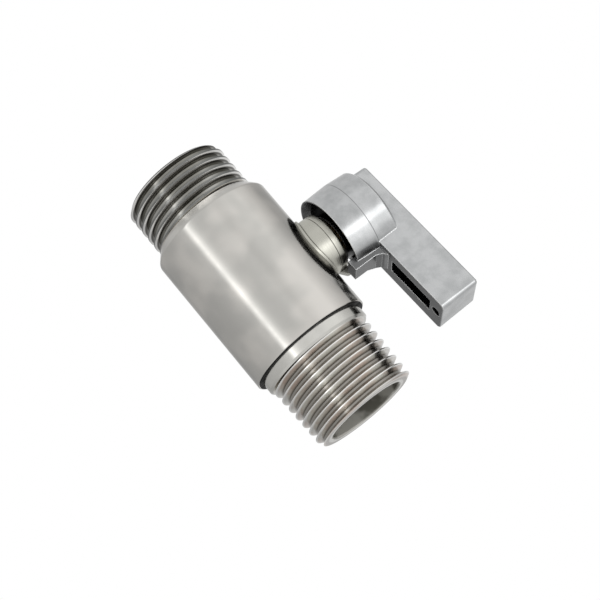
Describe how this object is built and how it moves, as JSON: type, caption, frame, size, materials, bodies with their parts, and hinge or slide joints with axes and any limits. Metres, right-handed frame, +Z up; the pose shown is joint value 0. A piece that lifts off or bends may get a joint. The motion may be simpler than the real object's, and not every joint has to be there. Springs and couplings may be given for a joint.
{
  "type": "ball valve",
  "caption": "Small quarter-turn ball valve with a parallel and a tapered male pipe thread and a bar lever.",
  "frame": {"origin": "the ball's centre, where the flow axis crosses the stem axis", "axes": "+X along the flow from the parallel-thread end to the tapered-thread end, +Z up the stem to the handle"},
  "size_m": [0.0556, 0.024, 0.0413],
  "materials": {
    "nickel_plate": "satin nickel plate on brass",
    "chromed_zinc": "bright chrome on a die casting",
    "polished_chrome": "polished chrome",
    "bare_brass": "machined brass",
    "zinc_plated_steel": "bright zinc plate",
    "ptfe": "turned PTFE",
    "black_rubber": "moulded nitrile"
  },
  "bodies": {
    "valve": {"valve_body": "nickel_plate", "neck_bushing": "nickel_plate", "end_connector": "nickel_plate", "body_joint_seal": "black_rubber", "seat_ring_inlet": "ptfe", "seat_ring_outlet": "ptfe"},
    "handle": {"handle": "chromed_zinc", "handle_screw": "zinc_plated_steel", "handle_screw_washer": "zinc_plated_steel", "stem": "bare_brass", "stem_thrust_washer": "ptfe", "stem_oring_lower": "black_rubber", "stem_oring_upper": "black_rubber", "ball": "polished_chrome"}
  },
  "joints": [
    {"name": "handle_turn", "type": "hinge", "parent": "valve", "child": "handle", "pos_m": [0, 0, 0], "axis": [0, 0, 1], "range_deg": [-82.5, 7.5]}
  ]
}
